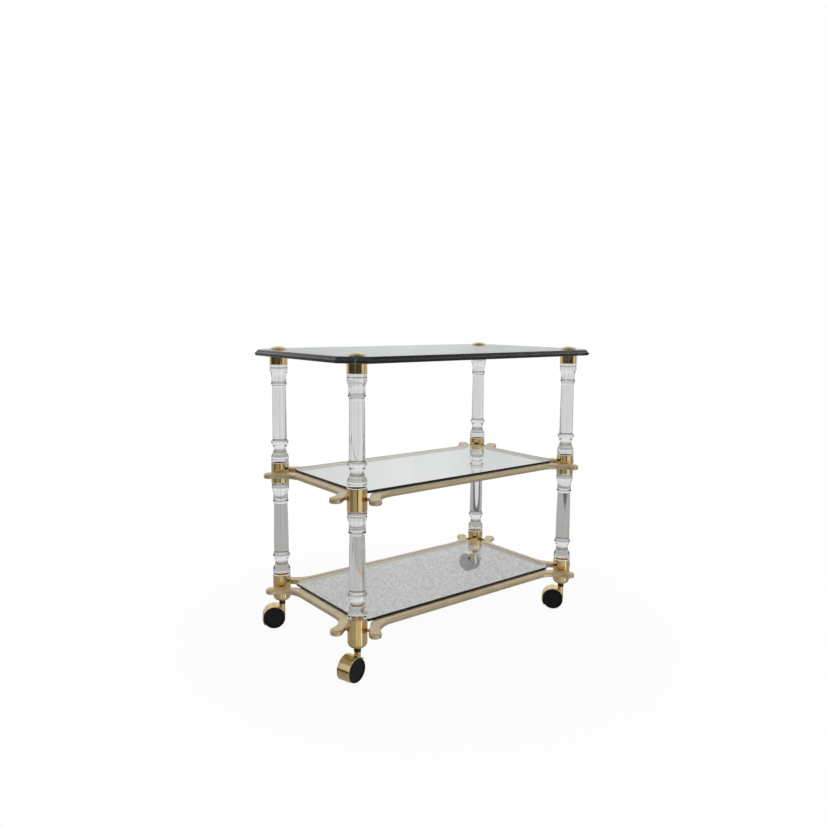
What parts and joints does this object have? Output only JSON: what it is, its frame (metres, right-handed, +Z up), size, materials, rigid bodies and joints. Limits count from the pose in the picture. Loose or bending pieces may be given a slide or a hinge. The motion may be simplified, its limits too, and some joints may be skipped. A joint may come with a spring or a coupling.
{
  "type": "bar cart on wheels",
  "caption": "Three-tier rolling bar cart: bevelled glass top and two glass shelves in brass bars, turned clear acrylic posts with brass collars, twin-wheel casters",
  "frame": {"origin": "centre of the cart's footprint, on the floor it stands on", "axes": "+X along the cart's long side, +Y across it, +Z up"},
  "size_m": [0.8, 0.477, 0.7285],
  "materials": {
    "glass": "clear plate glass, polished edges that look dark blue-green",
    "clear_acrylic": "clear cast acrylic, turned and polished",
    "clear_plastic": "thin clear plastic washer",
    "brass": "pale brass bar, satin, with light wear",
    "polished_brass": "polished lacquered brass",
    "grey_plastic": "moulded socket sleeve",
    "black_metal": "black coated steel",
    "steel": "bright drawn steel",
    "black_plastic": "satin black moulded wheel"
  },
  "bodies": {
    "root": {"glass_top": "glass", "mid_shelf_glass": "glass", "lower_shelf_glass": "glass", "glass_washers": "clear_plastic", "bar_pins": "polished_brass", "caster_sockets": "grey_plastic", "cap_front_left": "polished_brass", "cap_back_left": "polished_brass", "cap_back_right": "polished_brass", "cap_front_right": "polished_brass", "top_collar_front_left": "polished_brass", "top_collar_back_left": "polished_brass", "top_collar_back_right": "polished_brass", "top_collar_front_right": "polished_brass", "upper_post_front_left": "clear_acrylic", "upper_post_back_left": "clear_acrylic", "upper_post_back_right": "clear_acrylic", "upper_post_front_right": "clear_acrylic", "mid_collar_front_left": "polished_brass", "mid_collar_back_left": "polished_brass", "mid_collar_back_right": "polished_brass", "mid_collar_front_right": "polished_brass", "lower_post_front_left": "clear_acrylic", "lower_post_back_left": "clear_acrylic", "lower_post_back_right": "clear_acrylic", "lower_post_front_right": "clear_acrylic", "foot_cup_front_left": "polished_brass", "foot_cup_back_left": "polished_brass", "foot_cup_back_right": "polished_brass", "foot_cup_front_right": "polished_brass", "lower_bar_back": "brass", "lower_bar_left": "brass", "lower_bar_front": "brass", "lower_bar_right": "brass", "mid_bar_back": "brass", "mid_bar_left": "brass", "mid_bar_front": "brass", "mid_bar_right": "brass"},
    "caster_front_left": {"hood_front_left": "polished_brass", "stem_front_left": "black_metal", "axle_front_left": "steel"},
    "left_wheel_front_left": {"left_wheel_front_left": "black_plastic"},
    "right_wheel_front_left": {"right_wheel_front_left": "black_plastic"},
    "caster_back_left": {"hood_back_left": "polished_brass", "stem_back_left": "black_metal", "axle_back_left": "steel"},
    "left_wheel_back_left": {"left_wheel_back_left": "black_plastic"},
    "right_wheel_back_left": {"right_wheel_back_left": "black_plastic"},
    "caster_back_right": {"hood_back_right": "polished_brass", "stem_back_right": "black_metal", "axle_back_right": "steel"},
    "left_wheel_back_right": {"left_wheel_back_right": "black_plastic"},
    "right_wheel_back_right": {"right_wheel_back_right": "black_plastic"},
    "caster_front_right": {"hood_front_right": "polished_brass", "stem_front_right": "black_metal", "axle_front_right": "steel"},
    "left_wheel_front_right": {"left_wheel_front_right": "black_plastic"},
    "right_wheel_front_right": {"right_wheel_front_right": "black_plastic"}
  },
  "joints": [
    {"name": "swivel_front_left", "type": "hinge", "parent": "root", "child": "caster_front_left", "pos_m": [-0.34, -0.1765, 0.09], "axis": [0, 0, 1], "continuous": true},
    {"name": "left_wheel_spin_front_left", "type": "hinge", "parent": "caster_front_left", "child": "left_wheel_front_left", "pos_m": [-0.35968, -0.18225, 0.0275], "axis": [0.2807, -0.9598, 0], "continuous": true},
    {"name": "right_wheel_spin_front_left", "type": "hinge", "parent": "caster_front_left", "child": "right_wheel_front_left", "pos_m": [-0.35968, -0.18225, 0.0275], "axis": [0.2807, -0.9598, 0], "continuous": true},
    {"name": "swivel_back_left", "type": "hinge", "parent": "root", "child": "caster_back_left", "pos_m": [-0.34, 0.1765, 0.09], "axis": [0, 0, 1], "continuous": true},
    {"name": "left_wheel_spin_back_left", "type": "hinge", "parent": "caster_back_left", "child": "left_wheel_back_left", "pos_m": [-0.35815, 0.18603, 0.0275], "axis": [-0.4648, -0.8854, 0], "continuous": true},
    {"name": "right_wheel_spin_back_left", "type": "hinge", "parent": "caster_back_left", "child": "right_wheel_back_left", "pos_m": [-0.35815, 0.18603, 0.0275], "axis": [-0.4648, -0.8854, 0], "continuous": true},
    {"name": "swivel_back_right", "type": "hinge", "parent": "root", "child": "caster_back_right", "pos_m": [0.34, 0.1765, 0.09], "axis": [0, 0, 1], "continuous": true},
    {"name": "left_wheel_spin_back_right", "type": "hinge", "parent": "caster_back_right", "child": "left_wheel_back_right", "pos_m": [0.33708, 0.19679, 0.0275], "axis": [-0.9898, -0.1426, 0], "continuous": true},
    {"name": "right_wheel_spin_back_right", "type": "hinge", "parent": "caster_back_right", "child": "right_wheel_back_right", "pos_m": [0.33708, 0.19679, 0.0275], "axis": [-0.9898, -0.1426, 0], "continuous": true},
    {"name": "swivel_front_right", "type": "hinge", "parent": "root", "child": "caster_front_right", "pos_m": [0.34, -0.1765, 0.09], "axis": [0, 0, 1], "continuous": true},
    {"name": "left_wheel_spin_front_right", "type": "hinge", "parent": "caster_front_right", "child": "left_wheel_front_right", "pos_m": [0.3266, -0.16098, 0.0275], "axis": [-0.757, -0.6534, 0], "continuous": true},
    {"name": "right_wheel_spin_front_right", "type": "hinge", "parent": "caster_front_right", "child": "right_wheel_front_right", "pos_m": [0.3266, -0.16098, 0.0275], "axis": [-0.757, -0.6534, 0], "continuous": true}
  ]
}
